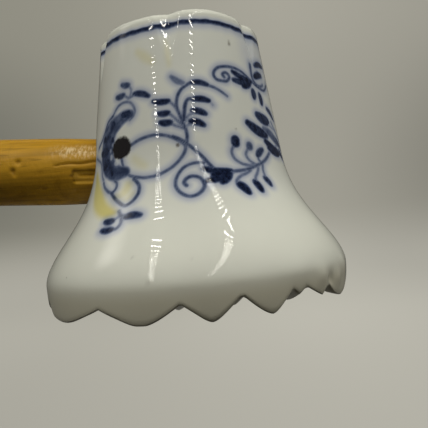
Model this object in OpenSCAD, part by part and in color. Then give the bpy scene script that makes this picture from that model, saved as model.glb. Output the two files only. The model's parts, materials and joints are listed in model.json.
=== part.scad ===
// Porcelain kitchen mallet: a lobed, flared porcelain head with a toothed striking face, set on the end of a
// round wooden handle. The head is a hollow casting, and plaster in the hollow grips the handle.
// Frame: +Z up the axis of the head, z = 0 at the tips of the teeth, handle towards -X. Millimetres.

/* [Head] */
// Height of the head from the tooth tips to the flat top
head_h = 67.6; // [60:0.2:76]
// Diameter of the top across the lobes
top_d = 40.8; // [38:0.2:48]
// Growth of the neck's radius for each millimetre downwards
neck_taper = 0.123; // [0.08:0.001:0.18]
// Height at which the skirt begins to flare out of the neck
flare_z = 37.4; // [32:0.1:44]
// Diameter of the skirt at its widest
skirt_d = 75.6; // [70:0.2:86]
// Height of the skirt's widest place
skirt_z = 7.4; // [5:0.1:10]
// Diameter of the striking face at the tooth tips
face_d = 74.2; // [68:0.2:75]
// Radius that rounds the top edge
rim_round = 1.8; // [0.8:0.2:3]

/* [Lobes] */
// Number of lobes round the head, with one of them over the handle
lobes = 6; // [4:2:8]
// Depth of the V-shaped creases between the lobes at the top
crease_depth = 1.2; // [0:0.1:2]
// Width of the creases at the top
crease_w = 7.6; // [4:0.2:12]
// Length of the creases, down from the top
crease_l = 12.6; // [6:0.2:24]
// Depth of the soft valleys that carry on down to the face
valley_depth = 0.3; // [0:0.1:1.2]

/* [Teeth] */
// Distance from one row of teeth to the next
tooth_pitch = 11.7; // [9:0.1:16]
// Depth of the grooves between the rows
tooth_depth = 4.3; // [3:0.1:6]
// Width of the flat on each tooth tip
tip_flat = 2.8; // [0.6:0.1:4]
// Angle from the handle's line to the direction across the first set of rows
row_turn = -10; // [-45:1:45]
// Angle by which the second set of rows is turned from the first
row_cross = 38; // [30:1:90]

/* [Casting] */
// Thickness of the porcelain in the sides
side_wall = 6; // [4:0.25:8]
// Thickness of the porcelain in the top
top_wall = 7; // [4:0.5:10]
// Thickness of the porcelain above the grooves
floor_wall = 5; // [4:0.5:8]

/* [Handle] */
// Diameter of the handle where it enters the head
handle_d = 17.8; // [14:0.2:19]
// Diameter of the handle at the thickest place of the grip
grip_d = 21; // [18:0.2:26]
// Diameter of the handle's free end, before it is rounded off
butt_d = 17; // [12:0.2:20]
// Length of the handle outside the head
handle_l = 190; // [150:1:240]
// Length of the straight stretch outside the head
straight_l = 36; // [24:1:60]
// Length of the rounded free end
butt_round = 7; // [3:0.5:8]
// Height of the handle's axis where it meets the axis of the head
handle_z = 33.2; // [30:0.1:36]
// Angle by which the handle rises towards its free end
handle_rake = 4.3; // [0:0.1:6]
// How far the handle reaches past the axis of the head
tenon_reach = 10; // [4:0.5:12]
// Bevel on the inner end of the handle
tenon_bevel = 1.2; // [0.4:0.1:3]

/* [Fits] */
// Gap between the handle and the hole in the porcelain
hole_gap = 0.2; // [0.1:0.05:0.5]
// Gap left round the plaster, where it shrank as it set
plaster_gap = 0.1; // [0.05:0.05:0.3]

/* [Hidden] */

// Facets round the lobed shell, and spare height that the flat cuts take off
facets = 72;
spare = 1;
round_fn = 96;

top_r = top_d / 2;
skirt_r = skirt_d / 2;
face_r = face_d / 2;
handle_r = handle_d / 2;
grip_r = grip_d / 2;
butt_r = butt_d / 2;

// Exponent that keeps the start of the flare gentle
flare_lead = 1.46;

// Hollow of the casting
hollow_z0 = tooth_depth + floor_wall;
hollow_z1 = head_h - top_wall;

// Places along the handle, measured from the axis of the head
handle_s0 = wall_r(handle_z);
handle_s1 = handle_s0 + straight_l;
handle_s3 = handle_s0 + handle_l;
handle_s2 = (handle_s1 + handle_s3) / 2 + straight_l / 2;

function clamp01(u) = min(1, max(0, u));
function ease(u) = u * u * (3 - 2 * u);

// Radius of the straight neck, carried on downwards under the flare
function neck_r(z) = top_r + neck_taper * (head_h - z);

// Share of the flare reached at height z: 0 on the neck, 1 at the widest place
function flare(z) = ease(pow(clamp01((flare_z - z) / (flare_z - skirt_z)), flare_lead));

// Radius over the lobes: neck and flare above the widest place, a parabola tucked in to the face below it
function wall_r(z) = z >= skirt_z
    ? neck_r(z) + (skirt_r - neck_r(skirt_z)) * flare(z)
    : skirt_r - (skirt_r - face_r) * pow((skirt_z - max(z, 0)) / skirt_z, 2);

// 1 on the crest of a lobe and 0 between two lobes
function crest(a) = abs(cos(lobes * a / 2));

// Distance round the top from angle a to the nearest crease, each of which lies between two lobes
function from_crease(a) = top_r * PI / lobes * abs(1 - 2 * abs(a * lobes / 360 - round(a * lobes / 360)));

// How far the surface is drawn in at angle a and height z: a crease that narrows as it fades, and a soft valley
function draw_in(a, z) =
    let (fade = clamp01(1 - (head_h - z) / crease_l), half_w = crease_w / 2 * (0.25 + 0.75 * fade))
        crease_depth * fade * clamp01(1 - from_crease(a) / half_w) + valley_depth * (1 - pow(crest(a), 2));

// Heights of the shell's rings with the inset of each, from below the face to above the top
rings = concat(
    [[-spare, 0]],
    [for (i = [0 : 4]) [skirt_z * i / 4, 0]],
    [for (i = [1 : 10]) [skirt_z + (flare_z - skirt_z) * i / 10, 0]],
    [for (i = [1 : 6]) [flare_z + (head_h - rim_round - flare_z) * i / 6, 0]],
    [for (t = [22.5 : 22.5 : 90]) [head_h - rim_round * (1 - sin(t)), rim_round * (1 - cos(t))]],
    [[head_h + spare, rim_round]]
);

// Outer form of the head, spare height included
module lobed_shell() {
    count = len(rings);
    points = [
        for (ring = rings, i = [0 : facets - 1])
            let (a = 360 * i / facets, r = wall_r(ring[0]) - ring[1] - draw_in(a, min(ring[0], head_h)))
                [r * cos(a), r * sin(a), ring[0]]
    ];
    sides = [
        for (k = [0 : count - 2], i = [0 : facets - 1])
            let (j = (i + 1) % facets, low = k * facets, high = low + facets)
                each [[low + i, high + i, high + j], [low + i, high + j, low + j]]
    ];
    base = [for (i = [0 : facets - 1]) i];
    lid = [for (i = [facets - 1 : -1 : 0]) (count - 1) * facets + i];
    polyhedron(points, concat(sides, [base, lid]));
}

// One set of parallel V grooves between the rows of teeth, across the whole face
module groove_set() {
    half_open = (tooth_pitch - tip_flat) / 2;
    past = half_open * spare / tooth_depth;
    rows = ceil(skirt_r / tooth_pitch);
    for (k = [-rows : rows - 1])
        translate([(k + 0.5) * tooth_pitch, skirt_d, 0])
            rotate([90, 0, 0])
                linear_extrude(2 * skirt_d)
                    polygon([[-half_open - past, -spare], [half_open + past, -spare], [0, tooth_depth]]);
}

// The casting's hollow, drawn in all round by gap
module hollow(gap = 0) {
    z0 = hollow_z0 + gap;
    z1 = hollow_z1 - gap;
    steps = 14;
    outline = [for (i = [0 : steps]) let (z = z0 + (z1 - z0) * i / steps) [wall_r(z) - side_wall - gap, z]];
    rotate_extrude($fn = round_fn) polygon(concat([[0, z0]], outline, [[0, z1]]));
}

// Turns a child that stands on z = 0 onto the handle's axis, with the head's axis at its z = 0
module along_handle() {
    translate([0, 0, handle_z]) rotate([0, handle_rake - 90, 0]) children();
}

// Round space that takes the handle, with gap all round, from its inner end to outside the head
module handle_hole(gap) {
    along_handle()
        translate([0, 0, -tenon_reach - gap])
            cylinder(r = handle_r + gap, h = tenon_reach + gap + skirt_r + spare, $fn = round_fn);
}

module porcelain_head() {
    color("ivory")
        difference() {
            intersection() {
                lobed_shell();
                translate([-skirt_d, -skirt_d, 0]) cube([2 * skirt_d, 2 * skirt_d, head_h]);
            }
            rotate(row_turn) groove_set();
            rotate(row_turn + row_cross) groove_set();
            hollow();
            handle_hole(hole_gap);
        }
}

// Radius of the handle at s along its axis: straight, swelling to the grip, then narrowing to the butt
function handle_profile_r(s) = s < handle_s2
    ? handle_r + (grip_r - handle_r) * ease(clamp01((s - handle_s1) / (handle_s2 - handle_s1)))
    : grip_r + (butt_r - grip_r) * ease(clamp01((s - handle_s2) / (handle_s3 - handle_s2)));

module wooden_handle() {
    steps = 20;
    round_s = handle_s3 - butt_round;
    round_r = handle_profile_r(round_s);
    swell = [for (i = [0 : steps]) let (s = handle_s1 + (round_s - handle_s1) * i / steps) [handle_profile_r(s), s]];
    dome = [for (t = [15 : 15 : 90]) [round_r * cos(t), round_s + butt_round * sin(t)]];
    tenon = [[0, -tenon_reach], [handle_r - tenon_bevel, -tenon_reach], [handle_r, tenon_bevel - tenon_reach]];
    color("peru")
        along_handle()
            rotate_extrude($fn = round_fn) polygon(concat(tenon, swell, dome));
}

module plaster_core() {
    color("gainsboro")
        difference() {
            hollow(plaster_gap);
            handle_hole(plaster_gap);
        }
}

porcelain_head();
wooden_handle();
plaster_core();
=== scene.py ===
"""Looks of a porcelain kitchen mallet: a glazed, painted head with a toothed face on a varnished handle.

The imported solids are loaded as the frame. Each visible piece is a surface worked out on a grid, in
millimetres of the frame, and put into the mesh in metres. The head's axis is +Z and the handle runs
towards -X.
"""

import json
from types import SimpleNamespace

import bpy
import numpy as np
from bpy.props import FloatProperty, FloatVectorProperty, IntProperty, PointerProperty
from mathutils import Matrix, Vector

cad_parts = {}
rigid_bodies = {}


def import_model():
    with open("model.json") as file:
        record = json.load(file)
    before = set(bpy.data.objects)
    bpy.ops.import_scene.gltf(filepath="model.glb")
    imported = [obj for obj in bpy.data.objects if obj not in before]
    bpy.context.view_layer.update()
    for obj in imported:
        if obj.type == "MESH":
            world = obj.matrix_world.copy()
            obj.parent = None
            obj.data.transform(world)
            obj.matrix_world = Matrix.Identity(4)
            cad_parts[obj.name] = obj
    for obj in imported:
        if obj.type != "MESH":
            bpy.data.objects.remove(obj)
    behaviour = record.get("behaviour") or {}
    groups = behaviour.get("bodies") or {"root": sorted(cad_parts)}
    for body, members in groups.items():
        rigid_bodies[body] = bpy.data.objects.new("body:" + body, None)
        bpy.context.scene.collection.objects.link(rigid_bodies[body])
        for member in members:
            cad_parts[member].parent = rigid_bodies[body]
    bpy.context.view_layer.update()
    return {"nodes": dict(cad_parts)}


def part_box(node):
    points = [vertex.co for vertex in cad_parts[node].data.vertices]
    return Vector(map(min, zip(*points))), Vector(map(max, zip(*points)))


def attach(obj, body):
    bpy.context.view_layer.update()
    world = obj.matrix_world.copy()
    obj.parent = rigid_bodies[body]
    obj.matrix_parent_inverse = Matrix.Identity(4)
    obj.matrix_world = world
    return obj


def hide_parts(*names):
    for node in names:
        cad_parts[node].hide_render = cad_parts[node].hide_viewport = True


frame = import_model()
HEAD_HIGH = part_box("porcelain_head")[1]

bl_info = {
    "name": "Porcelain mallet",
    "version": (1, 0, 0),
    "blender": (4, 5, 0),
    "location": "3D View > Sidebar > Mallet",
    "description": "Builds the painted porcelain head, the wooden handle and the stage of a kitchen mallet",
    "category": "Add Mesh",
}

MM = 0.001

# Direction that the painter's sheet is centred on, and the radius at which its millimetres are true
SHEET_ANGLE = 276.0
SHEET_RADIUS = 23.5
# The sheet's right-hand end is stretched: place from which it is, and by how much
SHEET_STRETCH = (13.0, 0.07)
# The sheet lies low on the neck: height below which it starts to, height over which it grows, and by how much
SHEET_SINK = (62.0, 26.0, 0.45)
# Distance from a stroke, in mm, past which its value stays the same
STROKE_REACH = 3.0
# Layers of cobalt in a stroke of full tone
INK_DEPTH = 4.6

# The painter's strokes on the sheet: u in mm to the right of the sheet's middle, z in mm up the head.
# Vines: width at the start, width at the end, tone, then the points that the line passes through
VINES = (
    # Blossom: petal, outer outline above and below
    (0.30, 0.30, 0.84, (-18.4, 45.3), (-17.5, 46.4), (-16.3, 47.3), (-14.7, 47.7), (-13.1, 47.5),
     (-12.0, 46.5), (-11.5, 45.1), (-12.0, 44.0), (-12.9, 43.3)),
    (0.39, 0.26, 0.89, (-18.4, 45.3), (-20.6, 44.2), (-22.2, 42.1), (-23.8, 40.5), (-26.1, 39.2)),
    (0.20, 0.33, 0.84, (-27.5, 36.9), (-25.4, 36.1), (-23.6, 35.1), (-22.2, 32.1), (-21.1, 30.8)),
    # Long loop to the right of the blossom
    (0.39, 0.30, 0.89, (-12.5, 37.6), (-10.6, 38.4), (-8.4, 38.9), (-6.3, 39.0), (-4.3, 38.6), (-2.5, 37.8),
     (-0.9, 36.7), (-0.3, 35.8), (-0.6, 34.6), (-1.5, 33.3), (-2.9, 31.9), (-4.7, 30.8), (-6.5, 30.1),
     (-8.8, 29.9), (-10.6, 30.2), (-12.5, 30.8), (-13.8, 31.9), (-14.7, 33.5), (-15.2, 35.1)),
    # Two loops under the blossom
    (0.33, 0.33, 0.89, (-20.9, 30.3), (-20.0, 29.2), (-18.6, 28.2), (-17.2, 27.6), (-16.3, 27.8),
     (-15.8, 28.5), (-15.9, 29.6), (-16.8, 30.3)),
    (0.36, 0.42, 0.92, (-17.0, 27.5), (-15.0, 25.8), (-12.9, 24.4), (-12.0, 24.3), (-10.9, 25.1),
     (-10.0, 26.7), (-10.1, 28.3), (-10.9, 29.4), (-11.5, 29.9)),
    # Stems of the upper sprig
    (0.23, 0.30, 0.79, (-13.3, 51.5), (-12.5, 50.3), (-12.7, 49.1), (-13.1, 48.4)),
    (0.26, 0.30, 0.84, (-14.8, 49.5), (-13.8, 48.8), (-13.1, 48.4), (-12.4, 48.7), (-11.5, 48.9)),
    # Stems of the lower sprig
    (0.30, 0.30, 0.89, (-13.4, 23.2), (-12.9, 22.5), (-11.8, 22.0)),
    (0.30, 0.30, 0.89, (-13.3, 23.2), (-12.4, 21.7), (-12.1, 20.5), (-12.6, 19.5), (-13.5, 19.3)),
    (0.23, 0.26, 0.84, (-14.2, 21.3), (-13.2, 21.8), (-12.9, 22.5)),
    # Main stem and its curl
    (0.36, 0.36, 0.92, (0.0, 36.4), (0.2, 38.3), (-0.1, 40.1), (-0.6, 41.4), (-1.2, 43.3), (-1.6, 45.1),
     (-1.3, 46.9), (-0.4, 48.4), (1.0, 49.4), (2.3, 49.9), (3.9, 49.7), (5.7, 49.2)),
    (0.36, 0.20, 0.89, (5.7, 49.2), (7.5, 48.5), (9.1, 47.6), (10.3, 46.7)),
    # Stems of the leaves on either side of the main stem
    (0.26, 0.30, 0.84, (-3.3, 46.1), (-2.2, 45.1), (-1.3, 43.3), (-0.5, 41.2)),
    (0.26, 0.30, 0.84, (-3.5, 43.5), (-2.5, 42.6), (-1.5, 41.5), (-0.4, 40.4)),
    (0.26, 0.30, 0.84, (-3.1, 41.2), (-2.0, 40.5), (-0.3, 39.8)),
    (0.36, 0.56, 0.93, (2.8, 46.0), (1.2, 46.2), (0.4, 45.2), (0.0, 43.4), (-0.3, 41.6)),
    (0.23, 0.20, 0.73, (5.9, 45.5), (6.5, 44.6)),
    (0.26, 0.30, 0.79, (2.2, 43.0), (0.9, 42.6), (0.0, 41.4)),
    (0.26, 0.30, 0.79, (1.6, 40.6), (0.6, 40.5), (0.0, 40.0)),
    # Lower stem, from the long loop to the leaf cluster and on to the right
    (0.30, 0.42, 0.92, (-2.9, 38.3), (-1.5, 37.6), (0.0, 36.5), (1.6, 34.9), (3.0, 33.3), (4.1, 31.7),
     (4.8, 30.8)),
    (0.46, 0.39, 0.89, (8.0, 29.7), (10.7, 29.9), (12.8, 30.3), (14.8, 31.0), (16.2, 31.5), (17.5, 32.1),
     (18.9, 33.0), (20.6, 34.4)),
    # Stalks of the berries above and below the lower stem
    (0.33, 0.33, 0.85, (10.0, 35.5), (9.4, 34.2), (9.8, 32.6), (11.2, 31.5), (12.8, 31.1), (14.4, 31.1)),
    (0.33, 0.30, 0.84, (13.4, 34.6), (12.8, 33.5), (13.5, 32.1), (15.0, 31.2)),
    (0.33, 0.30, 0.85, (16.0, 33.5), (16.1, 32.4), (16.9, 31.7)),
    (0.36, 0.30, 0.85, (9.3, 26.3), (9.0, 27.4), (10.0, 28.5), (11.6, 29.2), (13.0, 29.9)),
    (0.30, 0.30, 0.84, (13.5, 27.1), (13.7, 28.3), (14.6, 29.4), (15.3, 30.6)),
    (0.30, 0.30, 0.84, (16.4, 28.3), (16.4, 29.9), (16.9, 31.5)),
    # Lower spiral
    (0.26, 0.42, 0.92, (3.0, 31.9), (2.0, 32.1), (0.3, 31.9), (-1.3, 31.0), (-2.5, 29.2), (-2.7, 27.4),
     (-1.8, 25.8), (-0.2, 24.9), (1.4, 25.3), (2.5, 26.5), (2.6, 27.6), (1.9, 28.8), (0.5, 29.2),
     (-0.6, 28.8), (-1.1, 27.9), (-0.7, 27.3)),
    # Upper scroll with its spiral end, and the hooked line above it
    (0.30, 0.36, 0.92, (27.5, 52.4), (26.2, 51.2), (24.4, 50.3), (22.5, 50.3), (20.3, 50.8), (18.9, 51.5),
     (17.1, 52.5), (15.3, 53.3), (13.2, 53.7), (11.2, 53.7), (9.1, 53.3), (8.0, 52.5), (7.6, 51.5),
     (8.2, 50.5), (9.4, 50.2), (10.7, 50.2), (11.6, 51.0), (11.5, 51.8), (10.7, 52.2), (9.9, 51.7),
     (10.3, 51.1)),
    (0.72, 0.32, 0.86, (19.8, 55.8), (19.6, 54.3), (19.7, 52.1), (21.2, 51.0), (23.0, 51.0), (24.8, 51.8)),
    # Stems at the right-hand blossom
    (0.32, 0.32, 0.80, (25.0, 42.4), (26.4, 40.8), (28.5, 38.5)),
    (0.33, 0.26, 0.79, (20.6, 34.4), (22.4, 35.6), (24.8, 36.4), (27.4, 37.6)),
    (0.30, 0.23, 0.73, (22.0, 42.0), (24.4, 41.0), (27.0, 40.6)),
)
# Leaves: root u, root z, tip u, tip z, width, tone
LEAVES = (
    (-13.2, 51.6, -15.8, 52.2, 1.25, 0.88), (-14.7, 49.5, -17.6, 49.4, 1.30, 0.90),
    (-11.6, 49.2, -7.6, 47.9, 1.25, 0.95),
    (-11.6, 21.8, -8.4, 21.9, 1.25, 0.95), (-13.9, 21.2, -16.1, 21.2, 1.10, 0.96),
    (-13.4, 19.4, -16.0, 19.4, 1.10, 0.96),
    (-3.3, 46.2, -7.2, 46.6, 1.15, 0.97), (-3.5, 43.6, -6.2, 43.6, 1.15, 0.96),
    (-3.1, 41.4, -5.8, 41.6, 1.25, 0.97),
    (2.2, 46.1, 6.1, 45.5, 1.15, 0.98), (1.8, 43.6, 5.0, 42.6, 1.20, 0.98),
    (1.2, 41.3, 4.4, 40.1, 1.25, 0.98),
    (2.2, 49.9, 6.2, 49.1, 1.00, 0.97), (0.3, 49.9, -2.7, 51.9, 1.15, 0.80),
    (8.4, 29.9, 2.5, 30.8, 1.25, 0.99), (8.2, 29.7, 2.9, 27.8, 1.45, 0.99),
    (8.1, 29.6, 5.8, 27.1, 1.45, 0.99),
    (7.9, 29.8, 4.2, 29.3, 1.60, 1.00),
    (16.0, 33.4, 18.4, 35.2, 1.35, 0.92),
    (18.7, 51.3, 12.5, 52.8, 1.30, 0.96), (18.4, 51.2, 12.4, 50.7, 1.45, 0.96),
    (18.2, 51.1, 15.1, 49.4, 1.45, 0.98),
    (17.9, 51.4, 14.6, 51.6, 1.60, 0.99),
    (22.0, 56.1, 28.0, 57.2, 1.20, 0.95), (20.8, 52.9, 25.2, 54.3, 1.50, 0.97),
    (18.8, 49.1, 18.7, 46.9, 1.60, 0.95), (21.5, 48.7, 21.7, 45.9, 1.50, 0.95),
    (23.0, 42.3, 17.8, 43.4, 2.50, 0.95), (20.8, 38.6, 14.2, 41.2, 2.20, 0.97),
    (26.0, 34.9, 19.4, 37.3, 1.90, 0.97), (25.8, 34.8, 20.2, 35.7, 1.90, 0.97),
    (26.6, 35.3, 28.6, 33.6, 1.60, 0.93), (24.0, 45.6, 27.8, 43.2, 1.30, 0.92),
    (9.3, 26.9, 11.2, 24.5, 1.60, 0.99), (13.1, 27.3, 14.1, 24.8, 1.35, 0.99),
    (16.1, 28.2, 17.2, 26.2, 1.20, 0.95),
)
# Berries and spots: u, z, width, height, tone
BERRIES = (
    (10.7, 36.5, 1.8, 2.4, 0.98), (14.2, 35.5, 1.5, 1.8, 0.87),
    (-14.0, 44.8, 3.0, 1.5, 0.95), (-18.2, 43.3, 1.7, 1.6, 0.95), (-21.8, 40.4, 1.3, 1.6, 0.97),
    (-22.9, 37.4, 1.5, 1.6, 0.98),
    (-21.1, 33.9, 1.7, 1.8, 0.99), (-18.0, 32.0, 1.2, 1.5, 0.98), (-14.3, 31.5, 1.2, 1.2, 0.93),
    (-18.4, 39.7, 1.2, 1.4, 0.97),
    (-20.0, 37.6, 0.9, 1.3, 0.95), (-20.2, 35.2, 1.0, 1.4, 0.95),
)
# Dark eye of the blossom, and the pale beads on its left side: u, z, width, height
EYE = (-15.4, 37.4, 5.8, 5.0)
BEADS = ((-17.5, 39.8, 0.6, 0.6), (-18.3, 38.6, 0.7, 0.8), (-19.1, 37.4, 0.7, 0.9), (-18.7, 35.8, 0.9, 1.3),
         (-16.7, 34.2, 1.5, 1.1))
# Washes: u, z and width of a broad wet brush along its way
WASHES = (
    ((-12.6, 44.6, 1.6), (-14.2, 44.4, 2.4), (-16.5, 43.5, 3.2), (-19.0, 42.1, 4.2), (-20.3, 40.1, 5.0),
     (-20.7, 37.4, 5.3), (-20.1, 34.8, 5.0), (-18.3, 32.9, 4.2), (-16.3, 31.9, 3.2), (-13.8, 31.8, 2.0)),
    ((20.2, 40.2, 0.8), (22.6, 39.4, 1.8), (25.2, 38.2, 2.0), (28.8, 36.6, 1.2)),
)
# Yellow patches, old stains, of which the first, beside the handle, is also painted shade lit yellow by light
# bounced off the wood: strength, then u, z and width along the way
STAINS_AND_BOUNCE = (
    (0.88, (-26.0, 32.6, 2.0), (-23.7, 29.2, 3.7), (-21.3, 26.6, 4.3), (-18.8, 24.5, 3.8),
     (-16.4, 23.3, 3.2), (-14.4, 23.0, 2.0)),
    (0.40, (-13.4, 25.6, 1.4), (-12.2, 25.8, 2.0), (-11.2, 26.8, 1.6)),
    (0.50, (-15.4, 26.4, 1.8), (-13.6, 26.8, 2.6), (-12.6, 28.6, 2.6)),
    (0.30, (-11.6, 34.4, 2.0), (-10.2, 33.2, 2.4), (-9.2, 32.6, 2.0)),
    (0.34, (-10.6, 59.0, 2.0), (-8.6, 57.4, 2.8), (-7.0, 56.0, 2.0)),
    (0.30, (-3.2, 60.0, 1.0), (-2.9, 57.0, 1.8), (-2.7, 54.6, 1.4)),
)
# Iron specks that can be seen singly: u, z, width and strength
SPECKS = (
    (-1.9, 36.3, 0.75, 1.0), (13.3, 59.6, 0.75, 0.9), (11.3, 39.3, 0.35, 0.6), (-8.3, 13.5, 0.22, 0.5),
    (-0.6, 12.7, 0.18, 0.6),
    (-5.9, 9.0, 0.3, 0.35),
)
# Layers of cobalt that the firing spread over the neck, and layers of painted shade at the neck's upper right
# edge
MIST = 0.03
RIGHT_EDGE_SHADE = 0.16
# Line round the head under its rim: height and width
RIM_LINE = (63.98, 0.74)
# Pool of it in the front crease: degrees, reach in degrees, share by which the line is thicker
RIM_POOL = (268.5, 3.6, 0.8)

# The rows of teeth were cut by hand. For each set: place across the rows, how far a groove is off, reach
ROW_WANDER = (
    ((6.5, -0.7, 6.0),),
    ((-30.0, 1.0, 7.0), (-17.0, -0.6, 6.0), (5.0, 0.9, 4.5), (16.5, 1.1, 4.5)),
)

# Corner of the face at which glaze has filled the first set: first and last degrees, radius that it begins at
FILLED_CORNER = (208.0, 264.0, 16.0)
# Grooves that glaze has made shallow: degrees round the head, reach in degrees, share that is filled
SHALLOWS = ((244.0, 8.0, 0.20), (270.5, 6.0, 0.14))
# One that is shallow at the skirt's edge alone, and the radius at which that begins
EDGE_SHALLOW = (331.0, 7.0, 0.50)
EDGE_SHALLOW_FROM = 30.0

# Lumps in the skirt's edge at its right-hand corner: degrees, height, reach and rise
LUMPS = (
    (319.8, 5.6, 2.2, 0.45), (325.2, 4.6, 1.2, -0.50), (331.5, 4.4, 1.8, 0.40), (308.5, 7.6, 3.5, 0.20),
    (339.0, 6.5, 2.5, 0.30),
)

# Rim after the firing: degrees of the lobe that stayed up and of the one that sank, each with its reach
RIM_UP = (294.0, 20.0)
RIM_DOWN = (250.0, 18.0)
# Height up to which the wall kept its form, and depth below the top from which it sank in full
WARP_FROM = 40.0
WARP_FULL = 4.0

# Rings of the striking face: first share of the edge's radius, last share, and how many there are
FACE_RINGS = (0.03, 0.97, 27)
FACE_LAST = 0.985
# Broken edge between face and wall: how far in and how far up its ring lies, and how far up the wall begins
EDGE_RING = (0.14, 0.10, 0.45)
# Rings from the edge up to the first level one, and its height above the skirt's widest place
EDGE_STEPS = 10
LEVEL_RISE = 2.0
# Rings of the head's wall: height up to which they go, and how many there are
WALL_RINGS = ((18.0, 16), (54.0, 115), (62.6, 13))
# Rings from there up to the round of the rim
RIM_RINGS = 19
# Shares of the rim's radius at which the rings of the flat top lie
LID_RINGS = (0.96, 0.85, 0.65, 0.4, 0.15)
# Rings of the handle after its bevel: first place along the axis, last place, and how many there are
HANDLE_RINGS = ((-7.0, 19.0, 14), (20.0, 60.0, 134))
# Rings from there to the round of the butt, and on the round: first place, how many, how many on the round
GRIP_RINGS = (61.5, 92, 14)

# Damage of the handle, in mm along its axis and in mm round it from the front.
# Chip beside the head and the deeper sliver in it: end along the axis, border below, border above, depth
CHIP = (28.6, -3.9, -0.5, 0.42)
SLIVER = (27.4, -2.4, -1.5, 0.22)
# Floor of the chip that shows fresh wood: end along the axis, border below, border above
FRESH_WOOD = (28.3, -4.1, -1.0)
# Crack above the chip: end along the axis, depth
CRACK = (33.0, 0.45)
# Its course: a place along the axis, how far round it is there, and its slant
CRACK_COURSE = (28.0, 1.15, 0.075)
# Thinning of the handle beside the head, and strength of the grain's waves
THINNING = 0.35
GRAIN = 0.4
# Dents: place along, place round, length, width, depth
DENTS = (
    (42.5, 1.8, 0.7, 0.7, 0.50), (43.7, -0.5, 0.7, 0.6, 0.50), (43.4, -1.4, 0.4, 0.5, 0.35),
    (36.4, -5.4, 1.1, 0.5, 0.30), (28.3, -6.3, 0.6, 0.5, 0.25),
)

# Lamps: name, degrees to the right of the front, degrees up, distance, size and power
LAMPS = (
    ("key_left", -39.0, 49.0, 640.0, 300.0, 2.18),
    ("key_right", 42.0, 62.0, 640.0, 300.0, 1.52),
    ("side_right", 82.0, 29.0, 640.0, 300.0, 1.26),
    ("back_left", -138.0, 40.0, 640.0, 300.0, 1.15),
    ("back_right", 138.0, 40.0, 640.0, 300.0, 0.95),
)
# Height of the place on the head's axis that the lamps face
LAMPS_AIM_Z = 30.0
# Rows of small lights overhead that the glaze mirrors: first x and y, last x and y, at the height below
LIGHT_ROWS = (((-165.0, -170.0), (-460.0, -985.0)), ((186.0, -140.0), (205.0, -985.0)))
LIGHT_ROWS_Z = 500.0
# Soft window that the glaze mirrors: degrees to the right of the front, degrees up, distance, width, height
WINDOW = (-82.0, 44.0, 900.0, 420.0, 460.0)
# Vertices along each side of the window
WINDOW_STEPS = 17
# Painted shade on the paper, as dark soft spots: place in metres, reach, and the share of light left in the
# middle
WALL_SHADOW = ((-1.15, 1.7, 0.22), 0.75, (0.62, 0.63, 0.63))
CORNER_SHADE = ((1.05, 1.7, 0.05), 0.8, (0.62, 0.62, 0.62))
# Painted light and shade on the paper, as slow changes of its tone: first and last place in metres, and the
# share of the tone at the last
WALL_RIGHT_SHADE = (0.2, 1.3, 0.84)
WALL_HIGH_LIGHT = (0.45, 1.05, 1.12)
FLOOR_FRONT_SHADE = (0.65, 0.1, 0.82)
FLOOR_RIGHT_SHADE = (0.1, 0.5, 0.85)
# Share of the paper's tone that the lamps light
PAPER_LIT = 0.18
# Rings of the floor's flat part, of its bend and of the wall, and columns round them
FLOOR_RINGS = (14, 14, 5)
FLOOR_COLUMNS = 144
BLACK = (0.0, 0.0, 0.0, 1.0)


def in_mm(group):
    """Copies a settings group, with every length in millimetres."""
    values = SimpleNamespace()
    for prop in group.bl_rna.properties:
        if prop.identifier in {"rna_type", "name"}:
            continue
        value = getattr(group, prop.identifier)
        if getattr(prop, "unit", "NONE") == "LENGTH":
            value = np.array(value[:]) / MM if prop.is_array else value / MM
        setattr(values, prop.identifier, value)
    return values


def ease(t):
    """Smooth step: 3 t^2 - 2 t^3 of t held between 0 and 1."""
    t = np.clip(t, 0.0, 1.0)
    return t * t * (3.0 - 2.0 * t)


def wall_radius(h, z):
    """Radius over the lobes at height z: a straight neck plus an eased flare, and a parabola below it."""
    skirt_r = h.skirt_diameter / 2
    neck = h.top_diameter / 2 + h.neck_taper * (h.head_height - z)
    neck_low = h.top_diameter / 2 + h.neck_taper * (h.head_height - h.skirt_height)
    share = np.clip((h.flare_height - z) / (h.flare_height - h.skirt_height), 0.0, 1.0) ** h.flare_lead
    tuck = np.clip((h.skirt_height - z) / h.skirt_height, 0.0, 1.0)
    upper = neck + (skirt_r - neck_low) * ease(share)
    lower = skirt_r - (skirt_r - h.face_diameter / 2) * tuck ** 2
    return np.where(z >= h.skirt_height, upper, lower)


def draw_in(h, angle, z):
    """How far the lobed surface is drawn in: a V crease that narrows and fades downwards, and a soft valley.

    The V is eased a little, so that its foot and its two edges are round as under a glaze.
    """
    crest = np.abs(np.cos(h.lobes * angle / 2))
    turn = angle * h.lobes / (2 * np.pi)
    from_crease = h.top_diameter / 2 * np.pi / h.lobes * (1.0 - 2.0 * np.abs(turn - np.round(turn)))
    fade = np.clip(1.0 - (h.head_height - z) / h.crease_length, 0.0, 1.0)
    vee = np.clip(1.0 - from_crease / (h.crease_width / 2 * (0.06 + 0.94 * fade)), 0.0, 1.0)
    return h.crease_depth * fade * (0.75 * vee + 0.25 * ease(vee)) + h.valley_depth * (1.0 - crest ** 2)


def degrees_from(angle, middle):
    """Degrees from a direction to an angle in radians, between -180 and 180."""
    return (np.degrees(angle) - middle + 180.0) % 360.0 - 180.0


def bell(away, reach):
    """Bell curve: 1 in the middle, and 1/e at the reach."""
    return np.exp(-(away / reach) ** 2)


def rim_warp(h, angle, z):
    """How far the firing let the upper part sink: least at one lobe of the front, most at the next."""
    up, down = (bell(degrees_from(angle, middle), reach) for middle, reach in (RIM_UP, RIM_DOWN))
    sink = h.warp * (1.0 - up) + 0.75 * h.warp * down
    return -sink * ease((z - WARP_FROM) / (h.head_height - WARP_FULL - WARP_FROM))


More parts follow.
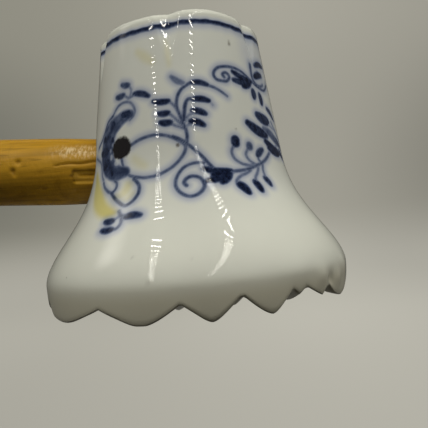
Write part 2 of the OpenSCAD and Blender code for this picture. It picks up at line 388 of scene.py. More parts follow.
def tooth_height(h, x, y):
    """Height of the face at x, y: the larger of two sets of V grooves, as hyperbolas that round the tips."""
    angle = np.degrees(np.arctan2(y, x)) % 360.0
    out = np.hypot(x, y)
    first, last, begin = FILLED_CORNER
    filled = 0.92 * ease((last - angle) / 10.0) * ease((angle - first) / 9.0) * ease((out - begin) / 8.0)
    turns = (h.row_turn, h.row_turn + h.row_cross)
    slopes = []
    for turn, wander, left_open in zip(turns, ROW_WANDER, (1.0 - filled, 1.0)):
        across = x * np.cos(turn) + y * np.sin(turn)
        across = across + sum(shift * bell(across - place, reach) for place, shift, reach in wander)
        slopes.append(np.abs(across / h.tooth_pitch - np.round(across / h.tooth_pitch)) * 2.0 * left_open)
    ridge = np.clip(0.5 * (slopes[0] + slopes[1] + np.sqrt((slopes[0] - slopes[1]) ** 2 + 0.004)), 0.0, 1.0)
    soft = h.tooth_softness
    rise = (np.sqrt(ridge ** 2 + soft ** 2) - soft) / (np.sqrt(1.0 + soft ** 2) - soft)
    shallow = sum(share * bell(angle - middle, reach) for middle, reach, share in SHALLOWS)
    middle, reach, share = EDGE_SHALLOW
    shallow = shallow + share * bell(angle - middle, reach) * ease((out - EDGE_SHALLOW_FROM) / 5.0)
    return h.tooth_depth * rise * (1.0 - shallow)


def face_edge(h, angle):
    """Radius and height at which the wall meets the toothed face, found by repeated substitution."""
    z = np.full_like(angle, h.tooth_depth / 2)
    for _ in range(40):
        r = wall_radius(h, z) - draw_in(h, angle, z)
        z = 0.6 * z + 0.4 * tooth_height(h, r * np.cos(angle), r * np.sin(angle))
    return wall_radius(h, z) - draw_in(h, angle, z), z


def handle_axis(g):
    """Foot of the handle's axis on the head's axis, and the axis with its up and sideways directions."""
    c, s = np.cos(g.rake), np.sin(g.rake)
    return np.array((0, 0, g.axis_height)), np.array((-c, 0, s)), np.array((s, 0, c)), np.array((0, 1.0, 0))


def lump_rise(h, angle, z):
    """How far the lumps stand out of the skirt: a sum of bell curves of the distance from each place."""
    rise = np.zeros_like(z)
    for middle, height, reach, top in LUMPS:
        along = np.radians(degrees_from(angle, middle)) * h.skirt_diameter / 2
        rise += top * bell(np.hypot(along, z - height), reach)
    return rise


def head_grid(h, g):
    """Rings of the head from the middle of the face outwards, up the wall and in over the top, as xyz.

    Face rings are shares of the edge radius, wall rings go evenly from the edge to a level height and are
    then level, and the rim is a quarter circle. Round the handle the wall is pressed in along the handle's
    axis. Also gives the distance from the handle's hole, and the heights before the firing's warp.
    """
    angle = np.linspace(0.0, 2 * np.pi, h.columns, endpoint=False)
    edge_r, edge_z = face_edge(h, angle)
    rings = []
    for share in (*np.linspace(*FACE_RINGS), FACE_LAST):
        r = share * edge_r
        rings.append((r, tooth_height(h, r * np.cos(angle), r * np.sin(angle))))
    inset, lift, begin = EDGE_RING
    rings.append((edge_r - inset, edge_z + lift))
    level = h.skirt_height + LEVEL_RISE
    heights = [edge_z + begin + (level - edge_z - begin) * t for t in np.linspace(0.0, 1.0, EDGE_STEPS)]
    for top, steps in (*WALL_RINGS, (h.head_height - h.rim_round, RIM_RINGS)):
        heights += [np.full_like(angle, z) for z in np.linspace(level, top, steps + 1)[1:]]
        level = top
    for z in heights:
        lump = lump_rise(h, angle, z) * ease((z - edge_z - 0.2) / 1.2)
        rings.append((wall_radius(h, z) - draw_in(h, angle, z) + lump, z))
    for turn in np.radians(np.arange(10.0, 91.0, 10.0)):
        z = np.full_like(angle, h.head_height - h.rim_round * (1 - np.sin(turn)))
        rings.append((wall_radius(h, z) - draw_in(h, angle, z) - h.rim_round * (1 - np.cos(turn)), z))
    lid_r = rings[-1][0]
    lid = np.array(LID_RINGS)
    rings += [(lid_r * share, np.full_like(angle, h.head_height)) for share in lid]
    grid = np.stack([np.stack((r * np.cos(angle), r * np.sin(angle), z), -1) for r, z in rings])
    level_z = grid[..., 2].copy()
    warp = rim_warp(h, angle, level_z)
    # Across the top the warp evens out towards the middle
    mean = warp[-len(lid):].mean(1)[:, None]
    warp[-len(lid):] = mean + (lid ** 2)[:, None] * (warp[-len(lid):] - mean)
    grid[..., 2] += warp

    foot, axis, _, _ = handle_axis(g)
    rel = grid - foot
    along = rel @ axis
    off = np.linalg.norm(rel - along[..., None] * axis, axis=-1)
    bore_gap = np.where(along > 0, off - g.diameter / 2 - h.hole_gap, h.skirt_diameter)
    press = h.hole_depth * ease(1.0 - bore_gap / h.hole_lip)
    return grid - press[..., None] * axis, bore_gap, level_z


def ring_quads(rings, columns):
    """Corners of the quads that join each closed ring of vertices to the next."""
    ring, column = np.meshgrid(np.arange(rings - 1) * columns, np.arange(columns), indexing="ij")
    after = (column + 1) % columns
    quads = (ring + column, ring + after, ring + columns + after, ring + columns + column)
    return np.stack(quads, -1).reshape(-1, 4)


def mesh_from_rings(name, grid, low, high):
    """Mesh of closed rings joined by quads, with one vertex at each end that the end rings fan to."""
    rings, columns = grid.shape[:2]
    points = np.concatenate((grid.reshape(-1, 3), [low, high])) * MM
    quads = ring_quads(rings, columns)
    here = np.arange(columns)
    there = (here + 1) % columns
    last = (rings - 1) * columns
    low_end = np.full(columns, rings * columns)
    caps = np.concatenate((np.stack((there, here, low_end), -1),
                           np.stack((last + here, last + there, low_end + 1), -1)))
    loops = np.concatenate((quads.ravel(), caps.ravel())).astype(np.int32)
    totals = np.concatenate((np.full(len(quads), 4), np.full(len(caps), 3))).astype(np.int32)
    mesh = bpy.data.meshes.new(name)
    mesh.vertices.add(len(points))
    mesh.vertices.foreach_set("co", points.astype(np.float32).ravel())
    mesh.loops.add(len(loops))
    mesh.loops.foreach_set("vertex_index", loops)
    mesh.polygons.add(len(totals))
    mesh.polygons.foreach_set("loop_start", np.concatenate(([0], np.cumsum(totals)[:-1])).astype(np.int32))
    mesh.polygons.foreach_set("loop_total", totals)
    mesh.polygons.foreach_set("use_smooth", np.ones(len(totals), dtype=bool))
    mesh.update(calc_edges=True)
    if mesh.validate():
        raise RuntimeError(f"{name}: the mesh had faults")
    return mesh


def open_mesh(name, grid, middle):
    """Mesh of rings joined by quads round one middle vertex, open at the outer ring."""
    rings, columns = grid.shape[:2]
    quads = ring_quads(rings, columns)
    here = np.arange(columns)
    fan = np.stack(((here + 1) % columns, here, np.full(columns, rings * columns)), -1)
    points = np.concatenate((grid.reshape(-1, 3), [middle])) * MM
    mesh = bpy.data.meshes.new(name)
    mesh.from_pydata(points.tolist(), [], quads.tolist() + fan.tolist())
    mesh.polygons.foreach_set("use_smooth", np.ones(len(mesh.polygons), dtype=bool))
    mesh.update()
    return mesh


def set_attribute(mesh, name, values):
    """Stores one number for each vertex."""
    mesh.attributes.new(name, "FLOAT", "POINT").data.foreach_set("value", values.astype(np.float32))


def add_object(name, mesh, material):
    """Puts a mesh into the scene at the origin, with its material."""
    obj = bpy.data.objects.new(name, mesh)
    mesh.materials.append(material)
    bpy.context.scene.collection.objects.link(obj)
    return obj


def smooth_path(points, steps=6):
    """Catmull-Rom curve through the rows of points, carried on straight past each end."""
    p = np.asarray(points, float)
    p = np.concatenate((2 * p[:1] - p[1:2], p, 2 * p[-1:] - p[-2:-1]))
    t = (np.arange(steps) / steps)[None, :, None]
    a, b, c, d = p[:-3, None], p[1:-2, None], p[2:-1, None], p[3:, None]
    square, cube = 2 * a - 5 * b + 4 * c - d, 3 * b - a - 3 * c + d
    curve = 0.5 * (2 * b + (c - a) * t + square * t ** 2 + cube * t ** 3)
    return np.concatenate((curve.reshape(-1, p.shape[1]), p[-2:-1]))


def stroke_distance(u, z, path):
    """Distance from u, z to the edge of a stroke whose rows are u, z and width: below 0 inside it."""
    a, b = path[:-1], path[1:]
    step = b[:, :2] - a[:, :2]
    du = u[:, None] - a[:, 0]
    dz = z[:, None] - a[:, 1]
    t = np.clip((du * step[:, 0] + dz * step[:, 1]) / np.maximum((step ** 2).sum(1), 1e-9), 0.0, 1.0)
    gap = np.hypot(du - t * step[:, 0], dz - t * step[:, 1])
    return (gap - 0.5 * (a[:, 2] + t * (b[:, 2] - a[:, 2]))).min(1)


def lay_stroke(sheet, path, distance, tone=None, value=0.0):
    """Adds one stroke to the sheet's nearest distance, and its tone where it is the nearest."""
    u, z = sheet
    reach = STROKE_REACH + path[:, 2].max() / 2
    near = np.flatnonzero((u > path[:, 0].min() - reach) & (u < path[:, 0].max() + reach)
                          & (z > path[:, 1].min() - reach) & (z < path[:, 1].max() + reach))
    if len(near) == 0:
        return
    found = stroke_distance(u[near], z[near], path)
    closer = found < distance[near]
    distance[near[closer]] = found[closer]
    if tone is not None:
        tone[near[closer]] = value


def vine_path(vine):
    """A line through the points, whose width goes evenly from the first value to the second."""
    points = np.array(vine[3:])
    width = np.linspace(vine[0], vine[1], len(points))
    return smooth_path(np.column_stack((points, width)))


def leaf_path(leaf):
    """A brush mark from root to tip that swells quickly and ends round."""
    u0, z0, u1, z1, width, _ = leaf
    du, dz = u1 - u0, z1 - z0
    t = np.linspace(0.0, 1.0, 9)
    bend = 0.06 * np.sin(np.pi * t)
    swell = width * np.sqrt(np.sin(np.pi * (0.10 + 0.80 * t ** 0.85)))
    # The mark's round tip stands half a width out, so its line is shortened by a little more than that
    inset = 0.5 * swell[-1] / np.hypot(du, dz)
    t = t * (1.0 - 1.2 * inset)
    return np.column_stack((u0 + du * t - bend * dz, z0 + dz * t + bend * du, swell))


def spot_path(u, z, width, height):
    """A short thick mark that fills an oval of this width and height."""
    thick = min(width, height)
    du, dz = 0.5 * (width - thick) + 0.01, 0.5 * (height - thick) + 0.01
    return np.array(((u - du, z - dz, thick), (u + du, z + dz, thick)))


def paint_head(angle, z):
    """Distances to the strokes of each kind, depth of the ink and strength of stains, specks and mist.

    The far half of the head carries the mirrored sheet, so the angle is folded about the handle's line. The
    stains' strength also holds painted yellow bounce light beside the handle, and the cobalt haze holds
    painted shade at the neck's upper right edge.
    """
    degrees = np.degrees(angle) % 360.0
    folded = np.where(degrees < 180.0, 360.0 - degrees, degrees)
    u = np.radians(folded - SHEET_ANGLE) * SHEET_RADIUS
    stretch_from, stretch = SHEET_STRETCH
    sink_from, sink_over, sink = SHEET_SINK
    sheet = (u - stretch * np.clip(u - stretch_from, 0.0, None),
             z + sink * np.clip((sink_from - z) / sink_over, 0.0, 1.0))
    ink, wash, eye, bead = (np.full(z.shape, STROKE_REACH) for _ in range(4))
    tone = np.full(z.shape, 0.9)
    stain = np.zeros(z.shape)
    speck = np.zeros(z.shape)
    for vine in VINES:
        lay_stroke(sheet, vine_path(vine), ink, tone, vine[2])
    for leaf in LEAVES:
        lay_stroke(sheet, leaf_path(leaf), ink, tone, leaf[5])
    for u, height, wide, tall, value in BERRIES:
        lay_stroke(sheet, spot_path(u, height, wide, tall), ink, tone, value)
    # Old stains, and beside the handle painted shade lit yellow by light bounced off the wood
    for strength, *spots in STAINS_AND_BOUNCE:
        away = np.full(z.shape, STROKE_REACH)
        lay_stroke(sheet, smooth_path(spots), away)
        stain = np.maximum(stain, strength * ease((0.7 - away) / 1.9))
    for u, height, wide, strength in SPECKS:
        away = np.full(z.shape, STROKE_REACH)
        lay_stroke(sheet, spot_path(u, height, wide, wide), away)
        speck = np.maximum(speck, strength * ease((0.2 - away) / 0.35))
    for brush in WASHES:
        lay_stroke(sheet, smooth_path(brush), wash)
    lay_stroke(sheet, spot_path(*EYE), eye)
    for oval in BEADS:
        lay_stroke(sheet, spot_path(*oval), bead)
    # The line under the rim is thickest in the front crease, wavers, and bled downwards more than up
    line_z, line_width = RIM_LINE
    pool, reach, swell = RIM_POOL
    thick = line_width * (1.0 + swell * bell(folded - pool, reach)
                          + 0.08 * np.sin(31 * angle) + 0.06 * np.sin(53 * angle))
    above = z - line_z - 0.12 * np.sin(3 * angle) - 0.05 * np.sin(43 * angle)
    line = np.where(above > 0.0, 1.5, 0.75) * (np.abs(above) - 0.5 * thick)
    tone = np.where(line < ink, 0.97, tone)
    ink = np.minimum(ink, np.clip(line, -1, STROKE_REACH))
    mist = ease((z - 18.0) / 12.0) * ease((66.5 - z) / 8.5) * MIST
    # Painted shade: extra blue-grey layers at the neck's upper right edge, and at the same place on the far
    # side
    side = ease((folded - 312.0) / 12.0) * ease((358.0 - folded) / 14.0)
    mist = mist + RIGHT_EDGE_SHADE * side * ease((z - 46.0) / 8.0) * ease((66.0 - z) / 3.0)
    return {"ink": ink, "wash": wash, "eye": eye, "bead": bead, "tone": INK_DEPTH * tone ** 6,
            "stain": stain, "speck": speck, "mist": mist}


class Nodes:
    """Short way to build one material's nodes: each call adds a node and sets or links its inputs."""

    def __init__(self, name):
        self.material = bpy.data.materials.new(name)
        self.material.use_nodes = True
        self.tree = self.material.node_tree
        self.tree.nodes.clear()

    def add(self, kind, inputs=None, **settings):
        """One node: settings are its own values, inputs are numbers to set or sockets to link."""
        node = self.tree.nodes.new(kind)
        for key, value in settings.items():
            setattr(node, key, value)
        for key, value in (inputs or {}).items():
            socket = node.inputs[key]
            if isinstance(value, bpy.types.NodeSocket):
                self.tree.links.new(value, socket)
            else:
                socket.default_value = value
        return node

    def attribute(self, name):
        """A number stored on the mesh's vertices."""
        return self.add("ShaderNodeAttribute", attribute_name=name).outputs["Fac"]

    def objects(self):
        """Object coordinates, in metres."""
        return self.add("ShaderNodeTexCoord").outputs["Object"]

    def mapped(self, scale, turn):
        """Object coordinates, scaled along each axis and then turned."""
        node = self.add("ShaderNodeMapping", {"Vector": self.objects(), "Rotation": turn, "Scale": scale})
        return node.outputs["Vector"]

    def noise(self, vector, scale, detail=3.0, roughness=0.5, distortion=0.0):
        """Cloudy noise between 0 and 1."""
        inputs = {"Vector": vector, "Scale": scale, "Detail": detail, "Roughness": roughness,
                  "Distortion": distortion}
        return self.add("ShaderNodeTexNoise", inputs).outputs["Fac"]

    def range(self, value, low, high, to_low=0.0, to_high=1.0):
        """A value eased from one range to another, and held at its ends."""
        inputs = {"Value": value, "From Min": low, "From Max": high, "To Min": to_low, "To Max": to_high}
        return self.add("ShaderNodeMapRange", inputs, interpolation_type="SMOOTHSTEP").outputs["Result"]

    def math(self, operation, a, b=0.0):
        """A sum, product or the like of two values."""
        return self.add("ShaderNodeMath", {0: a, 1: b}, operation=operation).outputs[0]

    def mix(self, share, a, b, blend="MIX"):
        """Colour a where the share is 0, and a blended with b where it is 1."""
        node = self.add("ShaderNodeMix", {"Factor": share, 6: a, 7: b}, data_type="RGBA", blend_type=blend)
        return node.outputs[2]

    def filtered(self, share, colour, left):
        """The colour where the share is 0, and what a filter leaves of it where the share is 1."""
        return self.mix(share, colour, self.mix(1.0, colour, rgba(left), "MULTIPLY"))

    def shaded(self, place, colour, shade):
        """The colour at the first place, eased to a share of it at the last."""
        first, last, share = shade
        return self.filtered(self.range(place, first, last), colour, (share, share, share))

    def near(self, place, reach):
        """1 at a place given in metres, eased to 0 at the reach."""
        inputs = {0: self.objects(), 1: place}
        away = self.add("ShaderNodeVectorMath", inputs, operation="DISTANCE").outputs["Value"]
        return self.range(away, reach, 0.0)

    def bump(self, height, strength, distance, normal=None):
        """Normal of a surface that a height field raises by up to the distance in metres."""
        inputs = {"Height": height, "Strength": strength, "Distance": distance}
        if normal is not None:
            inputs["Normal"] = normal
        return self.add("ShaderNodeBump", inputs).outputs["Normal"]

    def surface(self, **inputs):
        """Ends the tree with one surface shader, and gives the finished material."""
        shader = self.add("ShaderNodeBsdfPrincipled", inputs)
        out = self.add("ShaderNodeOutputMaterial")
        self.tree.links.new(shader.outputs["BSDF"], out.inputs["Surface"])
        return self.material


def rgba(colour):
    """A colour's three channels, with full cover."""
    return (*colour[:3], 1.0)


def porcelain_material(h):
    """Clear glaze over ivory porcelain with underglaze cobalt, a few iron specks and old yellow stains.

    Cobalt takes light away as a filter does: each colour channel is the body times a constant to the power of
    the cobalt's depth, so that thin edges come out pale blue and full strokes nearly black. Painted shade is
    laid into the colour too: darker and warmer towards the skirt's lower edge, blue-grey at the neck's upper
    right edge, and, in the old stain beside the handle, shade lit yellow by light bounced off the wood.
    """
    n = Nodes("painted_porcelain")
    here = n.objects()
    cloud = n.noise(here, 38.0, 3.0)
    body = n.mix(n.range(cloud, 0.3, 0.7), rgba(h.porcelain_colour), rgba(h.porcelain_shade))
    # Old stains, and beside the handle painted shade lit yellow by light bounced off the wood
    body = n.filtered(n.attribute("stain"), body, h.stain_colour)
    cell = n.add("ShaderNodeTexVoronoi", {"Vector": here, "Scale": 250.0})
    chosen = n.range(cell.outputs["Color"], 0.86, 0.87)
    speck = n.math("MULTIPLY", n.range(cell.outputs["Distance"], 0.085, 0.05), chosen)
    speck = n.math("MAXIMUM", n.math("MULTIPLY", speck, 0.6), n.attribute("speck"))
    body = n.mix(n.math("MULTIPLY", speck, 0.85), body, rgba(h.speck_colour))
    high = n.add("ShaderNodeSeparateXYZ", {"Vector": here}).outputs["Z"]
    # Painted shade: the body is darker and warmer from 9.5 mm down to 4 mm, over the skirt's lower edge and
    # the teeth
    body = n.filtered(n.range(high, 0.0095, 0.0040), body, h.edge_colour)
    groove = n.attribute("groove")
    body = n.mix(groove, body, rgba(h.grime_colour))

    wet = n.noise(here, 900.0, 4.0, 0.6)
    ink = n.attribute("ink")
    line = n.math("MULTIPLY", n.range(ink, 0.44, -0.30), n.attribute("tone"))
    line = n.math("MULTIPLY", line, n.range(wet, 0.2, 0.8, 0.60, 1.18))
    bleed = n.range(ink, h.halo_reach, -0.2)
    halo = n.math("MULTIPLY", n.math("MULTIPLY", bleed, bleed), h.halo_depth)
    bead = n.range(n.attribute("bead"), 0.3, -0.2, 1.0, 0.3)
    pool = n.noise(here, 420.0, 3.0, 0.55)
    wet_edge = n.attribute("wash")
    wash = n.math("MULTIPLY", n.range(wet_edge, 0.6, -0.5), n.range(pool, 0.3, 0.7, 1.5, 2.7))
    wash = n.math("MULTIPLY", wash, n.range(wet_edge, -0.6, -2.3, 1.0, 1.35))
    depth = n.math("ADD", n.math("MULTIPLY", n.math("MAXIMUM", line, wash), bead), halo)
    # Cobalt haze of the firing, with painted shade at the neck's upper right edge
    depth = n.math("ADD", depth, n.attribute("mist"))
    # Thin cobalt takes hardly any blue light
    blue = n.math("DIVIDE", n.math("MULTIPLY", depth, depth), n.math("ADD", depth, 0.4))
    channels = enumerate(zip(h.cobalt_colour, (depth, depth, blue)))
    left = {i: n.math("POWER", base, layers) for i, (base, layers) in channels}
    cobalt = n.add("ShaderNodeCombineColor", left)
    colour = n.mix(1.0, body, cobalt.outputs["Color"], "MULTIPLY")
    ragged = n.math("ADD", n.attribute("eye"), n.range(wet, 0.25, 0.75, -0.22, 0.22))
    colour = n.mix(n.range(ragged, 0.3, -0.4), colour, rgba(h.eye_colour))

    waves = n.noise(here, 140.0, 2.0)
    normal = n.bump(waves, 0.08, 0.0004)
    rough = n.range(n.noise(here, 90.0, 3.0), 0.3, 0.8, 0.008, 0.03)
    rough = n.math("ADD", rough, n.math("MULTIPLY", groove, 0.25))
    return n.surface(**{"Base Color": colour, "Roughness": rough, "Normal": normal, "IOR": 1.52})


def build_head(h, g):
    """The porcelain head as one closed mesh, with the painter's distances and the dirt as attributes."""
    grid, bore_gap, level_z = head_grid(h, g)
    lid_z = grid[-1, :, 2].mean()
    mesh = mesh_from_rings("painted_head", grid, (0, 0, 0), (0, 0, lid_z))
    x, y, z = grid[..., 0].ravel(), grid[..., 1].ravel(), level_z.ravel()
    paint = paint_head(np.arctan2(y, x), z)
    flat = np.hypot(x, y) < 0.92 * wall_radius(h, z)
    for name in ("ink", "wash", "eye", "bead"):
        paint[name][flat | (bore_gap.ravel() < 0.0)] = STROKE_REACH
    # Dirt lies in the grooves of the face and round the handle's hole
    in_face = ease((z - 0.35 * h.tooth_depth) / (0.65 * h.tooth_depth)) * (flat & (z < h.head_height / 2))
    at_hole = ease((0.5 - bore_gap.ravel()) / 0.6) * (z > 20) * ~flat
    paint["groove"] = np.maximum(0.55 * in_face, 0.75 * at_hole)
    # Besides the painter's distances and the dirt, the attributes carry painted shade and painted yellow
    # bounce light
    for name, values in paint.items():
        bare = 0.0 if name in ("stain", "speck", "mist", "groove") else STROKE_REACH
        set_attribute(mesh, name, np.append(values, (bare, bare)))
    head = add_object("painted_head", mesh, porcelain_material(h))
    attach(head, "root")
    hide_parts("porcelain_head")


def handle_radius(g, s):
    """Radius along the handle: straight, eased out to the grip and in to the butt, and a quarter ellipse."""
    s1 = g.wall_start + g.straight_length
    s3 = g.wall_start + g.length
    s2 = (s1 + s3) / 2 + g.straight_length / 2
    thin, grip, butt = g.diameter / 2, g.grip_diameter / 2, g.butt_diameter / 2
    swell = thin + (grip - thin) * ease((s - s1) / (s2 - s1))
    shrink = grip + (butt - grip) * ease((s - s2) / (s3 - s2))
    r = np.where(s < s2, swell, shrink)
    end = np.clip((s - (s3 - g.butt_round)) / g.butt_round, 0.0, 1.0)
    tenon = np.clip((-g.tenon_reach + g.tenon_bevel - s) / g.tenon_bevel, 0.0, 1.0) * g.tenon_bevel
    return r * np.sqrt(np.maximum(1.0 - end ** 2, 0.0)) - tenon


def within(value, low, high, soft):
    """1 between low and high and 0 outside, with each step eased over the soft width."""
    return ease((value - low) / soft + 0.5) * ease((high - value) / soft + 0.5)


def handle_grid(g):
    """Rings of the handle from the tenon to the butt, with the chip, the crack and the dents off the radius.

    The marks are depths in mm worked out on s, the place along the axis, and t, the way round in mm from the
    side that faces the front: a chip is a step on its sides, a crack a narrow groove along a line, and a
    dent a bell curve. Also gives the two end points, the wear, and the share of pale crazing on the upper
    front near the head, which also carries a painted sheen.
    """
    s3 = g.wall_start + g.length
    grip_start, grip_steps, butt_steps = GRIP_RINGS
    butt = s3 - g.butt_round * (1 - np.sin(np.linspace(0.0, 0.5 * np.pi, butt_steps)[:-1]))
    bevel = np.linspace(-g.tenon_reach, -g.tenon_reach + g.tenon_bevel, 3)
    s = np.concatenate((bevel, *(np.linspace(*stretch) for stretch in HANDLE_RINGS),
                        np.linspace(grip_start, s3 - g.butt_round, grip_steps)[:-1], butt))
    turn = np.linspace(0.0, 2 * np.pi, g.columns, endpoint=False)
    S, T = np.meshgrid(s, turn, indexing="ij")
    r = handle_radius(g, S)
    t = np.radians(degrees_from(T, -90.0)) * g.diameter / 2

    ragged = 0.25 * np.sin(2.1 * t) + 0.15 * np.sin(5.3 * t + 1.0)
    end, low, high, deep = CHIP
    cut = deep * within(S, 0.0, end + ragged, 0.4) * within(t, low, high, 0.5)
    end, low, high, deep = SLIVER
    cut += deep * within(S, 0.0, end - ragged, 0.6) * within(t, low, high, 0.4)
    end, low, high = FRESH_WOOD
    fresh = within(S, 0.0, end + ragged, 0.5) * within(t, low, high, 0.5)
    end, deep = CRACK
    from_s, from_t, slant = CRACK_COURSE
    crack_t = from_t + slant * (from_s - S) + 0.12 * np.sin(0.9 * S)
    crack_width = 0.14 + 0.03 * np.clip(end - S, 0.0, 9.0)
    cut += deep * bell(t - crack_t, crack_width) * within(S, 0.0, end, 1.6)
    for dent_s, dent_t, long, wide, deep in DENTS:
        cut += deep * bell(S - dent_s, long) * bell(t - dent_t, wide)
    grain = 0.035 * np.sin(7 * T + 0.6 * np.sin(S / 9.0)) + 0.02 * np.sin(23 * T + 1.7 * np.sin(S / 6.0))
    show = ease((S - 15.0) / 5.0) * ease((s3 - 1.0 - S) / 6.0)
    thinner = THINNING * ease((36.0 - S) / 14.0) * ease((S - 16.0) / 4.0)
    r = r - (cut + GRAIN * (grain + 0.055)) * show - thinner
    foot, axis, up, out = handle_axis(g)
    outward = np.cos(T)[..., None] * up + np.sin(T)[..., None] * out
    grid = foot + S[..., None] * axis + r[..., None] * outward
    tip = foot + s3 * axis
    # Share of pale crazing, which also carries a painted sheen on the lit upper front near the head
    crazed = ease((37.0 - S) / 9.0) * ease((t - 1.6) / 3.0) * ease((8.0 - t) / 3.5)
    return grid, foot - g.tenon_reach * axis, tip, (cut - 0.75 * fresh) * show, crazed


def wood_material(g):
    """Worn golden varnish on close-grained wood: streaks along the handle, pores, dark dents, crazing."""
    n = Nodes("varnished_wood")
    turn = (0.0, -float(g.rake), 0.0)
    streaks = n.noise(n.mapped((14.0, 420.0, 420.0), turn), 1.0, 6.0, 0.62, 0.4)
    broad = n.noise(n.mapped((9.0, 90.0, 90.0), turn), 1.0, 3.0, 0.5, 0.6)
    pores = n.noise(n.mapped((110.0, 1500.0, 1500.0), turn), 1.0, 2.0)
    patches = n.noise(n.objects(), 130.0, 5.0, 0.6)
    colour = n.mix(n.range(streaks, 0.30, 0.66, 0.45, 1.0), rgba(g.dark_colour), rgba(g.wood_colour))
    colour = n.mix(n.math("MULTIPLY", n.range(broad, 0.45, 0.75), 0.55), colour, rgba(g.light_colour))
    colour = n.mix(n.math("MULTIPLY", n.range(pores, 0.60, 0.70), 0.45), colour, rgba(g.dark_colour))
    colour = n.mix(n.math("MULTIPLY", n.range(patches, 0.52, 0.70), 0.5), colour, rgba(g.dark_colour))
    worn = n.attribute("worn")
    colour = n.mix(n.math("MULTIPLY", n.range(worn, 0.10, 0.45), 0.42), colour, rgba(g.dark_colour))
    # Below zero the mark is a chip's floor, which shows fresh pale wood
    fresh = n.math("MULTIPLY", n.range(worn, -0.05, -0.3), n.range(streaks, 0.42, 0.58, 0.25, 0.85))
    colour = n.mix(fresh, colour, rgba(g.light_colour))
    # Painted sheen: pale flecks on the pale crazing stand in for the varnish's highlight on the lit upper
    # front
    craze = n.noise(n.mapped((1500.0, 620.0, 620.0), turn), 1.0, 3.0, 0.6)
    sheen = n.math("MULTIPLY", n.attribute("crazed"), n.range(craze, 0.42, 0.64, 0.08, 0.9))
    colour = n.mix(sheen, colour, rgba(g.bare_colour))
    normal = n.bump(craze, 0.35, 0.0003)
    normal = n.bump(streaks, 0.25, 0.0004, normal)
    rough = n.range(patches, 0.3, 0.7, 0.30, 0.52)
    return n.surface(**{"Base Color": colour, "Roughness": rough, "Normal": normal, "IOR": 1.5,
                        "Specular IOR Level": 0.25})


def build_handle(g):
    """The handle as one closed mesh of rings round its raked axis, with its wear stored as attributes."""
    grid, low, high, worn, crazed = handle_grid(g)
    mesh = mesh_from_rings("varnished_handle", grid, low, high)
    for name, values in (("worn", worn), ("crazed", crazed)):
        set_attribute(mesh, name, np.append(values.ravel(), (0.0, 0.0)))
    handle = add_object("varnished_handle", mesh, wood_material(g))
    # The glaze doesn't mirror the handle
    handle.visible_glossy = False
    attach(handle, "root")
    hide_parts("wooden_handle")


def plaster_material(colour):
    """Matt set plaster with fine pits."""
    n = Nodes("set_plaster")
    pits = n.noise(n.objects(), 700.0, 4.0, 0.6)
    shade = n.mix(n.range(pits, 0.3, 0.7), rgba(colour), rgba([0.8 * c for c in colour]))
    return n.surface(**{"Base Color": shade, "Roughness": 0.9, "Normal": n.bump(pits, 0.4, 0.0005)})


def floor_grid(t):
    """Rings of the floor from its middle outwards: flat, then a quarter circle up into a wall all round."""
    level, bent, upright = FLOOR_RINGS
    flat = t.floor_radius - t.bend_radius
    turn = np.linspace(0.0, 0.5 * np.pi, bent + 1)[1:]
    r = np.concatenate((np.linspace(0.04, 1.0, level) * flat, flat + t.bend_radius * np.sin(turn),
                        np.full(upright, t.floor_radius)))
    rise = np.concatenate((np.zeros(level), t.bend_radius * (1 - np.cos(turn)),
                           np.linspace(t.bend_radius, t.wall_height, upright + 1)[1:]))
    angle = np.linspace(2 * np.pi, 0.0, FLOOR_COLUMNS, endpoint=False)
    R, A = np.meshgrid(r, angle, indexing="ij")
    Z = np.broadcast_to(rise[:, None] - t.floor_drop, R.shape)
    return np.stack((R * np.cos(A), R * np.sin(A), Z), -1)


def paper_material(t):
    """Pale paper: part of it glows for the camera and for reflections, and the rest is lit and takes shadows.

    Light that bounces off it onto the part is held back, as in a dark room. Places on it are in metres. Its
    tone carries painted light and shade: the wall darker than the floor and lighter higher up, both darker at
    the left and the right, the floor darker towards the head, and dark soft spots as painted shadows.
    """
    n = Nodes("pale_paper")
    place = n.add("ShaderNodeSeparateXYZ", {"Vector": n.objects()})
    across, depth, high = place.outputs["X"], place.outputs["Y"], place.outputs["Z"]
    # Painted shade: the wall is darker at the left and towards the right, with a painted shadow at the left,
    # and lighter higher up
    wall = n.mix(n.range(across, -1.0, 0.3), rgba(t.wall_left), rgba(t.wall_right))
    wall = n.shaded(across, wall, WALL_RIGHT_SHADE)
    wall = n.filtered(n.near(*WALL_SHADOW[:2]), wall, WALL_SHADOW[2])
    wall = n.shaded(high, wall, WALL_HIGH_LIGHT)
    # Painted shade: the floor is darker at the left, towards the head and towards the right
    floor = n.mix(n.range(across, -0.25, 0.12), rgba(t.floor_left), rgba(t.floor_colour))
    floor = n.shaded(depth, floor, FLOOR_FRONT_SHADE)
    floor = n.shaded(across, floor, FLOOR_RIGHT_SHADE)
    paper = n.mix(n.range(high, t.fade_low * MM, t.fade_high * MM), floor, wall)
    # Painted shade: a dark soft spot at the back right
    paper = n.filtered(n.near(*CORNER_SHADE[:2]), paper, CORNER_SHADE[2])
    path = n.add("ShaderNodeLightPath")
    mirrored = n.math("MULTIPLY", path.outputs["Is Glossy Ray"], t.paper_mirrored)
    seen = n.math("MAXIMUM", path.outputs["Is Camera Ray"], mirrored)
    lit = n.filtered(1.0, paper, (PAPER_LIT, PAPER_LIT, PAPER_LIT))
    base = n.mix(seen, rgba(t.bounce_colour), lit)
    glow = n.math("MULTIPLY", seen, t.paper_glow)
    return n.surface(**{"Base Color": base, "Roughness": 0.9, "Specular IOR Level": 0.1,
                        "Emission Color": paper, "Emission Strength": glow})


